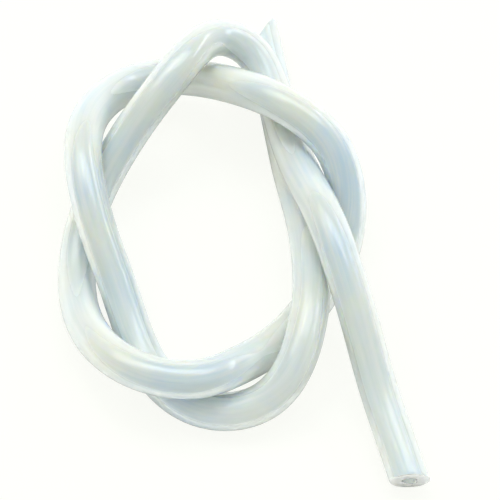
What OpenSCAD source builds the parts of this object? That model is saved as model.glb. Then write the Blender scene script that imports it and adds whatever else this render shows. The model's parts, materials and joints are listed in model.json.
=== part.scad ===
// Silicone tubing coil: one length of translucent silicone tube, cut off at both ends and
// wound into a loose loop of about two and a quarter turns that lies on a table.
//
// The turns follow an oval laid flat. Each point of the route has a bearing round that oval,
// a lane, which is how far outside the oval it lies, and a layer, which is how high it lies.
// Lanes and layers are counted in pitches, so a thicker tube is wound further apart.
// The origin is on the table, under the middle of the coil, with +Z up.

/* [Tube] */
// Outer diameter of the tube
tube_od = 10; // [8:0.1:12]
// Diameter of the bore
tube_bore = 4; // [2:0.1:5]

/* [Ends] */
// Straight length at the long free end
free_straight = 15; // [12:0.5:18]
// Straight length at the end that is tucked under the tight bend
tucked_straight = 10; // [8:0.5:13]
// Slant of the cut across the free end, 0 for a square cut
free_slant = 15; // [-55:1:55]
// Slant of the cut across the tucked end, 0 for a square cut
tucked_slant = -50; // [-55:1:55]

/* [Coil] */
// Width of the oval that the turns follow
loop_width = 66; // [55:1:80]
// Length of the oval that the turns follow
loop_length = 96; // [80:1:116]
// Clear height between two turns where one lies across the other
turn_gap = 0.4; // [0.2:0.1:1]

/* [Hidden] */

// Distance between the middles of two turns that lie side by side or one on the other
pitch = tube_od + turn_gap;
// Flats round the swept tube, and the most that it bends between two of its rings
sides = 16;
ring_bend = 15;
// How far into each straight end its true round bore starts
bore_start = 0.5;
// Length that the swept tube runs past each cut before it is cut off
overrun = tube_od;
// Radii of the swept tube's corners, with its flats just outside the round walls
flat_step = 0.03;
outer_r = (tube_od / 2 + flat_step) / cos(180 / sides);
bore_r = (tube_bore / 2 + flat_step) / cos(180 / sides);

// Route from the free end to the tucked end, each point as [bearing in degrees, lane, layer]
route = [
    [-49, 3.05, 0.15], [-44, 2.3, 0.25], [-38, 1.6, 0.8], [-31, 1, 1.35], [-22, 0.4, 1.75],
    [-12, -0.05, 1.95], [0, -0.45, 1.9], [15, -0.7, 1.35], [33, -0.7, 1.05], [49, -0.35, 1.05],
    [62, 0.05, 1.1], [72, 0.55, 1.3], [81.5, 0.7, 1.6], [90.5, 0.5, 1.9], [100, -0.1, 2.15],
    [118, -0.65, 2.1], [136, -0.6, 1.6], [152, -0.3, 0.8], [166, 0, 0.3], [180, 0.2, 0.1],
    [192, 0.35, 0], [206, 0.5, 0.25], [221, 0.55, 0.7], [236, 0.45, 1.05], [251, 0.2, 1.1],
    [268, -0.05, 1.1], [285, -0.45, 0.8], [305, -0.65, 0.2], [322, -0.5, 0], [338, -0.25, 0],
    [350, 0.1, 0.1], [362, 0.35, 0.5], [372, 0.4, 1.2], [383, 0.2, 1.9], [395, -0.35, 2.2],
    [409, -0.75, 2.2], [434, -0.75, 1.65], [455, -0.1, 0.85], [469, 0.55, 0.45], [483, 0.8, 0.7],
    [500, 0.75, 1.2], [514, 0.5, 1.6], [529, 0.1, 1.65], [545, -0.3, 1.2], [563, -0.65, 0.45],
    [583, -0.5, 0], [605, -0.1, 0], [623, 0.2, 0], [639, 0.4, 0], [653, 0.6, 0.4],
    [665, 0.45, 0.95], [679, 0.05, 1.15], [694, -0.3, 1.1], [708, -0.6, 1], [721, -0.75, 0.75],
    [736, -0.8, 0.2], [752, -0.7, 0], [767, -0.35, 0], [780, 0.2, 0], [790, 0.95, 0.05]
];

function unit(v) = v / norm(v);

// Place of one point of the route, with the middle of the oval at zero
function place(point) =
    let (
        oval = [loop_width / 2 * cos(point[0]), loop_length / 2 * sin(point[0])],
        outward = unit([loop_length * cos(point[0]), loop_width * sin(point[0])]),
        flat = oval + point[1] * pitch * outward
    )
    [flat[0], flat[1], tube_od / 2 + point[2] * pitch];

// The places that pull the tube along, with one more beyond each end to make it leave straight
places = [for (point = route) place(point)];
last = len(places) - 1;
guide = [
    2 * places[0] - places[1],
    each places,
    2 * places[last] - places[last - 1]
];

// Middle of the tube and its direction at fraction t of span i, on a smooth cubic curve
function middle(i, t) =
    (
        pow(1 - t, 3) * guide[i]
        + (3 * pow(t, 3) - 6 * pow(t, 2) + 4) * guide[i + 1]
        + (1 + 3 * t + 3 * pow(t, 2) - 3 * pow(t, 3)) * guide[i + 2]
        + pow(t, 3) * guide[i + 3]
    ) / 6;
function heading(i, t) =
    unit(
        (3 * pow(t, 2) - 4 * t) * guide[i + 1]
        + (1 + 2 * t - 3 * pow(t, 2)) * guide[i + 2]
        + pow(t, 2) * guide[i + 3]
        - pow(1 - t, 2) * guide[i]
    );

// Stations are [middle, direction] pairs, closer together where the tube bends more
function steps(i) = max(1, ceil(acos(min(1, heading(i, 0) * heading(i, 1))) / ring_bend));
free_way = -heading(0, 0);
tucked_way = heading(last - 1, 1);
stations = [
    [places[0] + (free_straight + overrun) * free_way, -free_way],
    for (i = [0:last - 1])
        for (j = [0:steps(i) - 1])
            [middle(i, j / steps(i)), heading(i, j / steps(i))],
    [places[last], tucked_way],
    [places[last] + (tucked_straight + overrun) * tucked_way, tucked_way]
];

// Points round the tube at one station; slant moves them along it, for a cut that isn't square
function ring(station, r, slant = 0) =
    let (
        across = unit(cross([0, 0, 1], station[1])),
        upward = cross(station[1], across)
    )
    [
        for (k = [0:sides - 1])
            let (a = 360 * k / sides)
            station[0] + r * (cos(a) * across + sin(a) * upward + cos(a) * tan(slant) * station[1])
    ];

// Outline of the whole coil, and the shift that puts the origin under its middle
outline = [
    for (i = [1:len(stations) - 2]) each ring(stations[i], outer_r),
    each ring([places[0] + free_straight * free_way, free_way], outer_r, free_slant),
    each ring([places[last] + tucked_straight * tucked_way, tucked_way], outer_r, tucked_slant)
];
low = [for (axis = [0:2]) min([for (point = outline) point[axis]])];
high = [for (axis = [0:2]) max([for (point = outline) point[axis]])];
shift = -[(low[0] + high[0]) / 2, (low[1] + high[1]) / 2, low[2]];

// The bent length, hollow from end to end: an outer wall, a bore and an annulus at each end
module swept_tube() {
    points = [for (station = stations) each [each ring(station, outer_r), each ring(station, bore_r)]];
    ring_points = 2 * sides;
    top = (len(stations) - 1) * ring_points;
    next = [for (k = [0:sides - 1]) (k + 1) % sides];
    walls = [
        for (base = [0:ring_points:top - ring_points])
            for (k = [0:sides - 1])
                let (
                    a = base + k,
                    b = base + next[k],
                    c = a + sides,
                    d = b + sides
                )
                each [
                    [a, b + ring_points, b],
                    [a, a + ring_points, b + ring_points],
                    [c, d, d + ring_points],
                    [c, d + ring_points, c + ring_points]
                ]
    ];
    ends = [
        for (k = [0:sides - 1])
            let (a = k, b = next[k])
            each [
                [a, b, b + sides],
                [a, b + sides, a + sides],
                [top + a, top + b + sides, top + b],
                [top + a, top + a + sides, top + b + sides]
            ]
    ];
    polyhedron(points = points, faces = concat(walls, ends));
}

// Places its children at one end of the tube, with the way out of it along Z
module at_end(start, way) {
    translate(start)
        rotate([0, acos(way[2]), atan2(way[1], way[0])])
            children();
}

// Sleeve inside the wall of a straight end, which gives that end a true round bore
module bore_sleeve(straight) {
    wall_middle = (tube_od + tube_bore) / 2;
    reach = straight + overrun - 2 * bore_start;
    difference() {
        translate([0, 0, bore_start])
            cylinder(h = reach, d = wall_middle);
        cylinder(h = reach + 2 * bore_start, d = tube_bore);
    }
}

// What a straight end loses to its cut, in a rod that stays clear of the turns beside it
module offcut(straight, slant) {
    intersection() {
        translate([0, 0, straight])
            rotate([slant, 0, 0])
                translate([-2 * tube_od, -2 * tube_od, 0])
                    cube(4 * tube_od);
        cylinder(h = straight + overrun + bore_start, r = outer_r + turn_gap / 4);
    }
}

module tube() {
    color([0.8, 0.86, 0.87, 0.7])
        translate(shift)
            difference() {
                union() {
                    swept_tube();
                    at_end(places[0], free_way)
                        bore_sleeve(free_straight, $fn = 64);
                    at_end(places[last], tucked_way)
                        bore_sleeve(tucked_straight, $fn = 64);
                }
                at_end(places[0], free_way)
                    offcut(free_straight, free_slant, $fn = 64);
                at_end(places[last], tucked_way)
                    offcut(tucked_straight, tucked_slant, $fn = 64);
            }
}

tube();
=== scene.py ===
"""Silicone tubing coil: the looks of one length of translucent tube that lies in a loose coil.

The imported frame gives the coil's place and box. This script sweeps the tube again along the same
route with a smooth round wall, an open bore and two knife-cut ends, and dresses it as silicone.
Lengths of the coil and the camera are in millimetres. Those of the studio, and of everything
built in Blender, are in metres.
"""

import json
import logging
import math
from dataclasses import dataclass, field
from enum import Enum
from typing import Any

import bpy
import numpy as np
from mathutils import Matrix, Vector


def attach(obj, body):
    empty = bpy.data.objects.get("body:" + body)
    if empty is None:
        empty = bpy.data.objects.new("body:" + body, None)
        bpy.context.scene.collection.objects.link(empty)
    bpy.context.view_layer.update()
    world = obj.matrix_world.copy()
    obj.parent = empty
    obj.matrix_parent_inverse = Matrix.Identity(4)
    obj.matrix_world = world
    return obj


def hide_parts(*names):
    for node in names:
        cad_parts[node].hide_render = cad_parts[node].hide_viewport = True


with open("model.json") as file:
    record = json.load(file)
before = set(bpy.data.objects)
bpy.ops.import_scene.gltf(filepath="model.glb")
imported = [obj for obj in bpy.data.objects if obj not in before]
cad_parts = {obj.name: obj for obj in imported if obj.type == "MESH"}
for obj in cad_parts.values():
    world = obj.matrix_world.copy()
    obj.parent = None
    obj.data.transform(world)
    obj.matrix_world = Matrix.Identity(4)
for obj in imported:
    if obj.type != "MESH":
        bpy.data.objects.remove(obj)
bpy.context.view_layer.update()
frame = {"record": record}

log = logging.getLogger("coil")

MM = 0.001
PIECE = "silicone_tube"
UV_LAYER = "millimetres"
NODE = "tube"
BODY = "root"

# A Mix node's colour sockets stand after its sockets for plain numbers and vectors.
MIX_FIRST, MIX_SECOND, MIX_COLOUR = 6, 7, 2


# ---------------------------------------------------------------- colours and nodes


def linear(code: str) -> tuple[float, float, float, float]:
    """Turns an sRGB hex colour to the linear values that a shader socket takes.

    Args:
        code: The colour as "#RRGGBB".

    Returns:
        Red, green, blue and a full alpha.
    """
    parts = [int(code[i:i + 2], 16) / 255 for i in (1, 3, 5)]
    # The numbers are those of the sRGB standard.
    red, green, blue = (
        c / 12.92 if c <= 0.04045 else ((c + 0.055) / 1.055) ** 2.4 for c in parts
    )
    return red, green, blue, 1.0


def add_node(tree: bpy.types.NodeTree, kind: str, inputs: dict[Any, Any] | None = None,
             **settings: Any) -> bpy.types.Node:
    """Adds a node with its settings, and sets or links its inputs.

    Args:
        tree: The node tree that takes the node.
        kind: The node's type name in Blender.
        inputs: Input name or number to a value, or to the output socket that feeds it.
        **settings: The node's own properties.

    Returns:
        The new node.
    """
    node = tree.nodes.new(kind)
    for name, value in settings.items():
        setattr(node, name, value)
    for key, value in (inputs or {}).items():
        socket = node.inputs[key]
        if isinstance(value, bpy.types.NodeSocket):
            tree.links.new(value, socket)
        else:
            socket.default_value = value
    return node


def blank_material(name: str) -> bpy.types.Material:
    """Makes a material with an empty node tree.

    Args:
        name: The material's name.

    Returns:
        The material.
    """
    material = bpy.data.materials.new(name)
    material.use_nodes = True
    material.node_tree.nodes.clear()
    return material


# ---------------------------------------------------------------- finishes


class Surface(Enum):
    """The tube's three kinds of surface, numbered as its material slots."""

    WALL = 0
    CUT = 1
    BORE = 2


@dataclass(frozen=True)
class Silicone:
    """Translucent silicone rubber, as an extruder, a pin or a knife leaves it.

    Silicone is clear by itself and clouded by its silica filler. It reads as milky glass: light
    goes in, is scattered just below the skin and comes out pale, bluish in places and greener in
    others, and what does get through the whole wall comes out greyer. The milk lies in faint
    streaks along the tube, and the skin has a clear soft gloss of its own.

    Attributes:
        name: The material's name.
        cool: The milk's colour where it looks bluish.
        warm: The milk's colour where it looks greener.
        roughness: Roughness where the cloud is cool.
        haze: How much rougher it is where the cloud is warm.
        line_depth_mm: Depth of the marks in the surface.
        line_pitch_mm: Distance from one mark to the next.
        line_length_mm: Length of a mark along the tube.
        transmission: Share of the light that passes the skin as through glass.
        scatter_mm: How far the rest spreads in the milk.
        coat: Strength of the clear gloss over the skin.
        streak: How far the streaks go towards their own colour, from 0 to 1.
        streak_colour: The streaks' colour.
        cloud_pitch_mm: Distance over which the milk changes.
        cloud_span: The cloud's values that give the cool and the warm colour.
        haze_span: The cloud's values that give the least and the most roughness.
        streak_span: The lines' values where a streak starts and is whole.
        cloud_detail: How many finer layers the cloud has.
        cloud_grain: How strong those layers are.
        line_detail: How many finer layers the lines have.
        line_grain: How strong those layers are.
        scatter_rgb: How far red, green and blue spread, as shares of scatter_mm.
        coat_roughness: Roughness of the gloss.
        depth_tint: Colour of the light that has gone through thick silicone.
        depth_density: How fast it takes that colour, per metre.
        lamps_pass: Share of a lamp's light that goes straight on at each surface it meets, so
            that shadows stay pale.
        ior: Refractive index of silicone rubber.
    """

    name: str
    cool: str
    warm: str
    roughness: float
    haze: float
    line_depth_mm: float
    line_pitch_mm: float
    line_length_mm: float
    transmission: float
    scatter_mm: float
    coat: float
    streak: float
    streak_colour: str = "#F4F8F6"
    cloud_pitch_mm: float = 24.0
    cloud_span: tuple[float, float] = (0.32, 0.68)
    haze_span: tuple[float, float] = (0.3, 0.7)
    streak_span: tuple[float, float] = (0.42, 0.62)
    cloud_detail: float = 2.0
    cloud_grain: float = 0.5
    line_detail: float = 3.0
    line_grain: float = 0.6
    scatter_rgb: tuple[float, float, float] = (1.0, 0.85, 0.6)
    coat_roughness: float = 0.07
    depth_tint: str = "#B4C2C9"
    depth_density: float = 80.0
    lamps_pass: float = 0.6
    ior: float = 1.41

    def cloud(self, tree: bpy.types.NodeTree) -> bpy.types.NodeSocket:
        """Adds the slow change of the filler along the tube.

        Args:
            tree: The material's node tree.

        Returns:
            A socket that drifts about 0.5.
        """
        return add_node(tree, "ShaderNodeTexNoise", {
            "Vector": add_node(tree, "ShaderNodeTexCoord").outputs["Object"],
            "Scale": 1 / (self.cloud_pitch_mm * MM),
            "Detail": self.cloud_detail, "Roughness": self.cloud_grain,
        }).outputs["Fac"]

    def lines(self, tree: bpy.types.NodeTree) -> bpy.types.NodeSocket:
        """Adds the long thin marks that run along the tube.

        Args:
            tree: The material's node tree.

        Returns:
            A socket that drifts about 0.5 from line to line.
        """
        place = add_node(tree, "ShaderNodeUVMap", uv_map=UV_LAYER).outputs["UV"]
        stretched = add_node(tree, "ShaderNodeMapping", {
            "Vector": place,
            "Scale": (1 / self.line_pitch_mm, 1 / self.line_length_mm, 1.0),
        }).outputs["Vector"]
        return add_node(tree, "ShaderNodeTexNoise", {
            "Vector": stretched, "Scale": 1.0,
            "Detail": self.line_detail, "Roughness": self.line_grain,
        }).outputs["Fac"]

    def colour(self, tree: bpy.types.NodeTree, cloud: bpy.types.NodeSocket,
               lines: bpy.types.NodeSocket) -> bpy.types.NodeSocket:
        """Adds the milk's colour: cool to warm with the cloud, and paler in the streaks.

        Args:
            tree: The material's node tree.
            cloud: The slow change along the tube.
            lines: The long thin marks.

        Returns:
            The colour's socket.
        """
        spread = add_node(tree, "ShaderNodeMapRange", {
            "Value": cloud, "From Min": self.cloud_span[0], "From Max": self.cloud_span[1],
        }).outputs["Result"]
        milk = add_node(tree, "ShaderNodeMix", {
            "Factor": spread, MIX_FIRST: linear(self.cool), MIX_SECOND: linear(self.warm),
        }, data_type="RGBA").outputs[MIX_COLOUR]
        paler = add_node(tree, "ShaderNodeMapRange", {
            "Value": lines, "From Min": self.streak_span[0], "From Max": self.streak_span[1],
            "To Max": self.streak,
        }).outputs["Result"]
        return add_node(tree, "ShaderNodeMix", {
            "Factor": paler, MIX_FIRST: milk, MIX_SECOND: linear(self.streak_colour),
        }, data_type="RGBA").outputs[MIX_COLOUR]

    def skin(self, tree: bpy.types.NodeTree) -> bpy.types.NodeSocket:
        """Adds the surface: milk below a skin that is part clear, with a gloss over it.

        Args:
            tree: The material's node tree.

        Returns:
            The shader's socket.
        """
        cloud, lines = self.cloud(tree), self.lines(tree)
        haze = add_node(tree, "ShaderNodeMapRange", {
            "Value": cloud, "From Min": self.haze_span[0], "From Max": self.haze_span[1],
            "To Min": self.roughness, "To Max": self.roughness + self.haze,
        }).outputs["Result"]
        bump = add_node(tree, "ShaderNodeBump", {
            "Height": lines, "Strength": 1.0, "Distance": self.line_depth_mm * MM,
        }).outputs["Normal"]
        return add_node(tree, "ShaderNodeBsdfPrincipled", {
            "Base Color": self.colour(tree, cloud, lines),
            "Roughness": haze,
            "IOR": self.ior,
            "Normal": bump,
            "Transmission Weight": self.transmission,
            "Subsurface Weight": 1.0,
            "Subsurface Radius": self.scatter_rgb,
            "Subsurface Scale": self.scatter_mm * MM,
            "Coat Weight": self.coat,
            "Coat Roughness": self.coat_roughness,
            "Coat IOR": self.ior,
            "Coat Normal": bump,
        }).outputs["BSDF"]

    def material(self) -> bpy.types.Material:
        """Builds the shader: the skin, the light that lamps send through it, and the depth.

        Returns:
            The material.
        """
        made = blank_material(self.name)
        tree = made.node_tree
        lamp_ray = add_node(tree, "ShaderNodeLightPath").outputs["Is Shadow Ray"]
        passed = add_node(tree, "ShaderNodeMath", {0: lamp_ray, 1: self.lamps_pass},
                          operation="MULTIPLY").outputs[0]
        clear = add_node(tree, "ShaderNodeBsdfTransparent", {"Color": linear(self.cool)})
        both = add_node(tree, "ShaderNodeMixShader", {
            0: passed, 1: self.skin(tree), 2: clear.outputs[0]})
        depth = add_node(tree, "ShaderNodeVolumeAbsorption", {
            "Color": linear(self.depth_tint), "Density": self.depth_density})
        add_node(tree, "ShaderNodeOutputMaterial", {
            "Surface": both.outputs[0], "Volume": depth.outputs[0]})
        return made


# Extruded: the die leaves a glossy wall with long faint streaks, blue-white to green-white.
# Real die lines are some hundredths of a millimetre apart, and are drawn coarser so that they
# show.
EXTRUDED_SILICONE = Silicone(
    name="extruded_translucent_silicone", cool="#D3E6F2", warm="#ECF1E4",
    roughness=0.3, haze=0.08, line_depth_mm=0.025, line_pitch_mm=1.6, line_length_mm=60.0,
    transmission=0.4, scatter_mm=1.0, coat=1.0, streak=0.6,
)
# Bore: the die's pin leaves a smooth clear wall, which shows as a soft band inside the tube. Its
# marks are fainter than the wall's, and are drawn coarser than real ones too.
BORE_SILICONE = Silicone(
    name="smooth_silicone_bore", cool="#F8FBFD", warm="#FCFDFA",
    roughness=0.3, haze=0.05, line_depth_mm=0.004, line_pitch_mm=0.8, line_length_mm=40.0,
    transmission=1.0, scatter_mm=3.0, coat=0.0, streak=0.0,
)
# Knife-cut: the blade leaves a matt, slightly torn face, with paler milk than the wall's and none
# of its gloss. Real tears are about a tenth of a millimetre across, and are drawn coarser so that
# they show.
KNIFE_CUT_SILICONE = Silicone(
    name="knife_cut_silicone", cool="#FAFCFC", warm="#FBFCF9",
    roughness=0.38, haze=0.1, line_depth_mm=0.03, line_pitch_mm=0.5, line_length_mm=0.5,
    transmission=0.75, scatter_mm=2.0, coat=0.0, streak=0.4,
)


# ---------------------------------------------------------------- the coil


@dataclass(frozen=True)
class Winding:
    """The route of the tube: points round an oval, each with a lane and a layer in pitches."""

    loop_width: float = 66.0
    loop_length: float = 96.0
    turn_gap: float = 0.4
    points: tuple[tuple[float, float, float], ...] = (
        (-49, 3.05, 0.15), (-44, 2.3, 0.25), (-38, 1.6, 0.8), (-31, 1, 1.35), (-22, 0.4, 1.75),
        (-12, -0.05, 1.95), (0, -0.45, 1.9), (15, -0.7, 1.35), (33, -0.7, 1.05),
        (49, -0.35, 1.05), (62, 0.05, 1.1), (72, 0.55, 1.3), (81.5, 0.7, 1.6), (90.5, 0.5, 1.9),
        (100, -0.1, 2.15), (118, -0.65, 2.1), (136, -0.6, 1.6), (152, -0.3, 0.8), (166, 0, 0.3),
        (180, 0.2, 0.1), (192, 0.35, 0), (206, 0.5, 0.25), (221, 0.55, 0.7), (236, 0.45, 1.05),
        (251, 0.2, 1.1), (268, -0.05, 1.1), (285, -0.45, 0.8), (305, -0.65, 0.2),
        (322, -0.5, 0), (338, -0.25, 0), (350, 0.1, 0.1), (362, 0.35, 0.5), (372, 0.4, 1.2),
        (383, 0.2, 1.9), (395, -0.35, 2.2), (409, -0.75, 2.2), (434, -0.75, 1.65),
        (455, -0.1, 0.85), (469, 0.55, 0.45), (483, 0.8, 0.7), (500, 0.75, 1.2),
        (514, 0.5, 1.6), (529, 0.1, 1.65), (545, -0.3, 1.2), (563, -0.65, 0.45),
        (583, -0.5, 0), (605, -0.1, 0), (623, 0.2, 0), (639, 0.4, 0), (653, 0.6, 0.4),
        (665, 0.45, 0.95), (679, 0.05, 1.15), (694, -0.3, 1.1), (708, -0.6, 1),
        (721, -0.75, 0.75), (736, -0.8, 0.2), (752, -0.7, 0), (767, -0.35, 0), (780, 0.2, 0),
        (790, 0.95, 0.05),
    )

    def places(self, tube_od: float) -> np.ndarray:
        """Turns the points to places, with the middle of the oval at zero.

        Args:
            tube_od: Outer diameter of the tube.

        Returns:
            One row of x, y and z for each point, in millimetres.
        """
        pitch = tube_od + self.turn_gap
        bearing, lane, layer = np.array(self.points, float).T
        cos, sin = np.cos(np.radians(bearing)), np.sin(np.radians(bearing))
        outward = np.stack([self.loop_length * cos, self.loop_width * sin], -1)
        outward /= np.linalg.norm(outward, axis=1, keepdims=True)
        oval = np.stack([self.loop_width / 2 * cos, self.loop_length / 2 * sin], -1)
        flat = oval + outward * (lane * pitch)[:, None]
        return np.column_stack([flat, tube_od / 2 + layer * pitch])

    def curve(self, places: np.ndarray, fineness: int = 40) -> np.ndarray:
        """Runs a smooth cubic curve through the pull of the places.

        Args:
            places: The places, in order.
            fineness: Points in each span of the curve.

        Returns:
            The curve's points.
        """
        # One more place at each end makes the curve start and stop at the first and last place.
        guide = np.vstack([2 * places[0] - places[1], places, 2 * places[-1] - places[-2]])
        t = (np.arange(fineness) / fineness)[:, None]
        # The weights are those of a uniform cubic B-spline.
        spans = [
            ((1 - t) ** 3 * a + (3 * t**3 - 6 * t**2 + 4) * b
             + (1 + 3 * t + 3 * t**2 - 3 * t**3) * c + t**3 * d) / 6
            for a, b, c, d in zip(guide, guide[1:], guide[2:], guide[3:])
        ]
        return np.vstack([*spans, places[-1:]])


def unit(rows: np.ndarray) -> np.ndarray:
    """Scales each row to length one."""
    return rows / np.linalg.norm(rows, axis=-1, keepdims=True)


@dataclass
class TubeCoil:
    """The whole object: one tube, hollow from cut end to cut end.

    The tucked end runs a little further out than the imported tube's, and the thin tip of its
    slanted cut is shortened, which leaves a short wedge past the tight bend.
    """

    tube_od: float = 10.0
    tube_bore: float = 4.0
    free_straight: float = 15.0
    tucked_straight: float = 11.5
    free_slant: float = 15.0
    tucked_slant: float = -50.0
    tucked_tip: float = 4.2
    mount_reach: float = 8.0
    ring_spacing: float = 1.0
    sides: int = 48
    cut_edge: float = 0.12
    # A rounded edge's middle lies this share of its size in from both faces.
    edge_middle: float = 0.3
    winding: Winding = field(default_factory=Winding)

    def centreline(self) -> np.ndarray:
        """Finds the tube's middle from the free end to the tucked end, in the frame's place.

        Returns:
            Evenly spaced points, in millimetres.
        """
        places = self.winding.places(self.tube_od)
        curve = self.winding.curve(places)
        free_way = unit(curve[0] - curve[1])
        tucked_way = unit(curve[-1] - curve[-2])
        mount = next(m for m in frame["record"]["mounts"] if m["name"] == "free_end_bore")
        in_place = np.array(mount["pos_m"]) / MM - curve[0] - free_way * self.mount_reach
        line = in_place + np.vstack([
            curve[0] + free_way * self.free_straight, curve,
            curve[-1] + tucked_way * self.tucked_straight,
        ])
        run = np.concatenate([[0], np.cumsum(np.linalg.norm(np.diff(line, axis=0), axis=1))])
        even = np.linspace(0, run[-1], round(run[-1] / self.ring_spacing) + 1)
        return np.stack([np.interp(even, run, line[:, i]) for i in range(3)], -1)

    def ring(self, at: np.ndarray, way: np.ndarray, radius: float, slant: float,
             tip: float) -> np.ndarray:
        """Places the points of one ring round the tube.

        Args:
            at: The ring's middle.
            way: The tube's direction there.
            radius: The ring's radius.
            slant: Tangent of the ring's slant to a square cut.
            tip: How far past its middle the ring may reach, where the cut's tip is nipped off.

        Returns:
            One row for each point.
        """
        across = unit(np.cross([0, 0, 1], way))
        upward = np.cross(way, across)
        turn = 2 * np.pi * np.arange(self.sides) / self.sides
        cos, sin = np.cos(turn)[:, None], np.sin(turn)[:, None]
        reach = np.minimum(radius * cos * slant, tip)
        return at + radius * (cos * across + sin * upward) + reach * way

    def slants(self, run: np.ndarray) -> tuple[np.ndarray, np.ndarray]:
        """Spreads each cut's slant back over the straight end behind it.

        Args:
            run: Distance of each ring from the free end.

        Returns:
            Tangent of the slant of each ring, along the centreline, and how far past its
            middle it may reach.
        """
        free = np.clip(1 - run / self.free_straight, 0, 1)
        tucked = np.clip(1 - (run[-1] - run) / self.tucked_straight, 0, 1)
        # The free end's slant is seen looking out of the tube, against the centreline.
        slants = (math.tan(math.radians(self.free_slant)) * free
                  + math.tan(math.radians(self.tucked_slant)) * tucked)
        # Away from the tucked end the limit is one diameter, which is more than any ring reaches.
        return slants, np.where(tucked > 0, self.tucked_tip * tucked, self.tube_od)

    def build(self) -> bpy.types.Object:
        """Builds the tube as one closed skin: outer wall, lip, bore wall and lip.

        Returns:
            The mesh object.
        """
        line = self.centreline()
        ways = unit(np.gradient(line, axis=0))
        run = np.arange(len(line)) * np.linalg.norm(line[1] - line[0])
        slants, tips = self.slants(run)
        outer, bore, edge = self.tube_od / 2, self.tube_bore / 2, self.cut_edge
        rings: list[np.ndarray] = []
        marks: list[tuple[float, float, Surface]] = []

        def add(i: int, radius: float, inset: float, surface: Surface) -> None:
            """Adds one ring of the skin.

            Args:
                i: The ring's number along the centreline.
                radius: The ring's radius.
                inset: How far it is set back from the cut.
                surface: The surface that starts at the ring.
            """
            back = ways[i] * inset * (1 if i == 0 else -1)
            rings.append(self.ring(line[i] + back, ways[i], radius, slants[i], tips[i]))
            marks.append((run[i], radius, surface))

        last = len(line) - 1
        middle = edge * self.edge_middle
        lip = [
            (outer, edge, Surface.WALL), (outer - middle, middle, Surface.CUT),
            (outer - edge, 0.0, Surface.CUT), ((outer + bore) / 2, 0.0, Surface.CUT),
            (bore + edge, 0.0, Surface.CUT), (bore + middle, middle, Surface.CUT),
            (bore, edge, Surface.CUT),
        ]
        for i in range(1, last):
            add(i, outer, 0.0, Surface.WALL)
        for radius, inset, surface in lip:
            add(last, radius, inset, surface)
        for i in range(last - 1, 0, -1):
            add(i, bore, 0.0, Surface.BORE)
        for radius, inset, surface in reversed(lip):
            add(0, radius, inset, surface)
        return self.skin(rings, marks)

    def skin(self, rings: list[np.ndarray],
             marks: list[tuple[float, float, Surface]]) -> bpy.types.Object:
        """Joins the rings, the last to the first, and maps them in millimetres.

        Args:
            rings: The rings in order.
            marks: Distance along the tube, radius and surface of each ring.

        Returns:
            The mesh object.
        """
        count, sides = len(rings), self.sides
        faces: list[tuple[int, int, int, int]] = []
        corners: list[tuple[float, float]] = []
        surfaces: list[int] = []
        for i in range(count):
            j = (i + 1) % count
            for k in range(sides):
                m = (k + 1) % sides
                faces.append((i * sides + k, j * sides + k, j * sides + m, i * sides + m))
                surfaces.append(marks[i][2].value)
                for ring, turn in ((i, k), (j, k), (j, k + 1), (i, k + 1)):
                    run, radius, _ = marks[ring]
                    corners.append((math.pi * self.tube_od * turn / sides, run + radius))
        mesh = bpy.data.meshes.new(PIECE)
        mesh.from_pydata((np.vstack(rings) * MM).tolist(), [], faces)
        mesh.polygons.foreach_set("use_smooth", [True] * len(faces))
        mesh.polygons.foreach_set("material_index", surfaces)
        layer = mesh.uv_layers.new(name=UV_LAYER)
        layer.data.foreach_set("uv", np.array(corners, np.float32).ravel())
        mesh.update()
        tube = bpy.data.objects.new(PIECE, mesh)
        bpy.context.scene.collection.objects.link(tube)
        return tube

    def dress(self, tube: bpy.types.Object) -> None:
        """Gives the outer wall, the cut faces and the bore their finishes.

        Args:
            tube: The tube's mesh object.
        """
        finishes = {
            Surface.WALL: EXTRUDED_SILICONE,
            Surface.CUT: KNIFE_CUT_SILICONE,
            Surface.BORE: BORE_SILICONE,
        }
        for surface in Surface:
            tube.data.materials.append(finishes[surface].material())

    def fit(self, tube: bpy.types.Object) -> float:
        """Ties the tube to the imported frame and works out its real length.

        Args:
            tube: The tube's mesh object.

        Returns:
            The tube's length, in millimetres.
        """
        line = self.centreline()
        length = float(np.linalg.norm(np.diff(line, axis=0), axis=1).sum())
        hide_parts(NODE)
        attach(tube, BODY)
        return length


# ---------------------------------------------------------------- the studio


@dataclass(frozen=True)
class Softbox:
    """One rectangular lamp with a diffuser, aimed at the middle of the coil."""

    name: str
    azimuth: float
    elevation: float
    distance: float
    width: float
    height: float
    power: float
    colour: str

    def build(self, aim: Vector) -> None:
        """Makes the lamp.

        Args:
            aim: The point it faces.
        """
        lamp = bpy.data.lights.new(self.name, "AREA")
        lamp.shape = "RECTANGLE"
        lamp.size, lamp.size_y = self.width, self.height
        lamp.energy = self.power
        lamp.color = linear(self.colour)[:3]
        box = bpy.data.objects.new(self.name, lamp)
        towards = Vector((
            math.cos(math.radians(self.azimuth)) * math.cos(math.radians(self.elevation)),
            math.sin(math.radians(self.azimuth)) * math.cos(math.radians(self.elevation)),
            math.sin(math.radians(self.elevation)),
        ))
        box.location = aim + towards * self.distance
        box.rotation_euler = towards.to_track_quat("Z", "Y").to_euler()
        bpy.context.scene.collection.objects.link(box)


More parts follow.
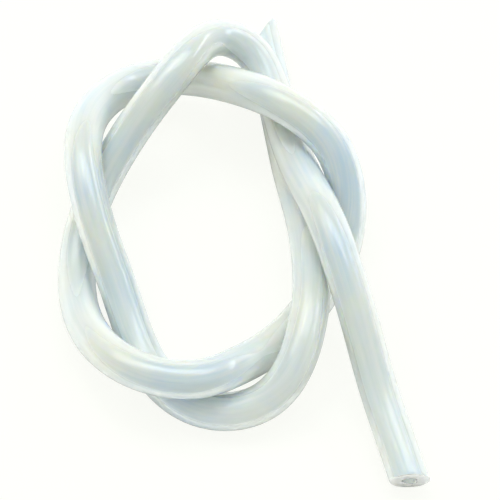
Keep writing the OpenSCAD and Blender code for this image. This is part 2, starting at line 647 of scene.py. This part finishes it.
@dataclass(frozen=True)
class Studio:
    """A pale table that runs out to a pale surround, with plain soft light."""

    table_width: float = 6.0
    table_colour: str = "#E4E5E2"
    surround_colour: str = "#FEFFFA"
    table_glow: float = 0.9
    fill_level: float = 0.72
    softboxes: tuple[Softbox, ...] = (
        Softbox("key_softbox", azimuth=70, elevation=72, distance=1.2, width=0.9, height=0.5,
                power=5.4, colour="#EEF5FF"),
        Softbox("strip_softbox", azimuth=27, elevation=38, distance=1.2, width=0.9, height=0.1,
                power=2.2, colour="#F6FAFF"),
        Softbox("top_softbox", azimuth=143, elevation=60, distance=1.2, width=0.7, height=0.6,
                power=4.0, colour="#FFFCF2"),
    )

    def seen_directly(self, tree: bpy.types.NodeTree) -> bpy.types.NodeSocket:
        """Finds the rays that show the surround: from the eye, or by way of the clear silicone.

        Args:
            tree: The node tree that needs it.

        Returns:
            A socket that is 1 for such a ray.
        """
        path = add_node(tree, "ShaderNodeLightPath").outputs
        return add_node(tree, "ShaderNodeMath", {
            0: path["Is Camera Ray"], 1: path["Is Transmission Ray"]},
            operation="MAXIMUM").outputs[0]

    def table(self) -> None:
        """Lays the table top."""
        half = self.table_width / 2
        mesh = bpy.data.meshes.new("table_top")
        mesh.from_pydata(
            [(-half, -half, 0), (half, -half, 0), (half, half, 0), (-half, half, 0)], [],
            [(0, 1, 2, 3)])
        top = bpy.data.objects.new("table_top", mesh)
        bpy.context.scene.collection.objects.link(top)
        # Paper: a matt sheet that looks as pale as the surround, and still takes the coil's shadow.
        made = blank_material("pale_paper_sweep")
        tree = made.node_tree
        paper = add_node(tree, "ShaderNodeBsdfDiffuse", {"Color": linear(self.table_colour)})
        dimmed = add_node(tree, "ShaderNodeBsdfDiffuse", {
            "Color": [c * (1 - self.table_glow) for c in linear(self.surround_colour)[:3]] + [1]})
        glow = add_node(tree, "ShaderNodeEmission", {
            "Color": linear(self.surround_colour), "Strength": self.table_glow})
        bright = add_node(tree, "ShaderNodeAddShader", {
            0: dimmed.outputs[0], 1: glow.outputs[0]})
        both = add_node(tree, "ShaderNodeMixShader", {
            0: self.seen_directly(tree), 1: paper.outputs[0], 2: bright.outputs[0]})
        add_node(tree, "ShaderNodeOutputMaterial", {"Surface": both.outputs[0]})
        mesh.materials.append(made)

    def surround(self) -> None:
        """Sets the world: pale to the eye, and a plain soft fill for everything else."""
        world = bpy.data.worlds.new("pale_surround")
        bpy.context.scene.world = world
        world.use_nodes = True
        tree = world.node_tree
        tree.nodes.clear()
        strength = add_node(tree, "ShaderNodeMapRange", {
            "Value": self.seen_directly(tree), "To Min": self.fill_level, "To Max": 1.0})
        light = add_node(tree, "ShaderNodeBackground", {
            "Color": linear(self.surround_colour), "Strength": strength.outputs[0]})
        add_node(tree, "ShaderNodeOutputWorld", {"Surface": light.outputs[0]})

    def build(self, aim: Vector) -> None:
        """Sets up the table, the surround and the lamps.

        Args:
            aim: The point that the lamps face.
        """
        self.table()
        self.surround()
        for box in self.softboxes:
            box.build(aim)
        bpy.context.scene.view_settings.view_transform = "Standard"


@dataclass(frozen=True)
class CoilCamera:
    """A long lens that looks down on the coil from its near side."""

    elevation: float = 60.0
    distance: float = 650.0
    lens: float = 177.0
    aim_x: float = 2.6
    aim_y: float = -6.0
    aim_z: float = 11.2
    nearest: float = 10.0
    farthest: float = 20000.0

    def build(self) -> None:
        """Makes the camera and puts the scene in its view."""
        camera = bpy.data.cameras.new("coil_camera")
        camera.lens = self.lens
        camera.clip_start, camera.clip_end = self.nearest * MM, self.farthest * MM
        holder = bpy.data.objects.new("coil_camera", camera)
        lean = math.radians(self.elevation)
        back = Vector((0, -math.cos(lean), math.sin(lean)))
        aim = Vector((self.aim_x, self.aim_y, self.aim_z)) * MM
        holder.location = aim + back * self.distance * MM
        holder.rotation_euler = back.to_track_quat("Z", "Y").to_euler()
        bpy.context.scene.collection.objects.link(holder)
        bpy.context.scene.camera = holder


def main() -> None:
    """Builds the camera, the tube and the studio, in that order."""
    logging.basicConfig(level=logging.INFO, format="%(name)s: %(message)s")
    CoilCamera().build()
    coil = TubeCoil()
    tube = coil.build()
    coil.dress(tube)
    length = coil.fit(tube)
    log.info("%s: %.1f mm long, %d faces", tube.name, length, len(tube.data.polygons))
    Studio().build(Vector((0, 0, 0)))


if __name__ == "__main__":
    main()
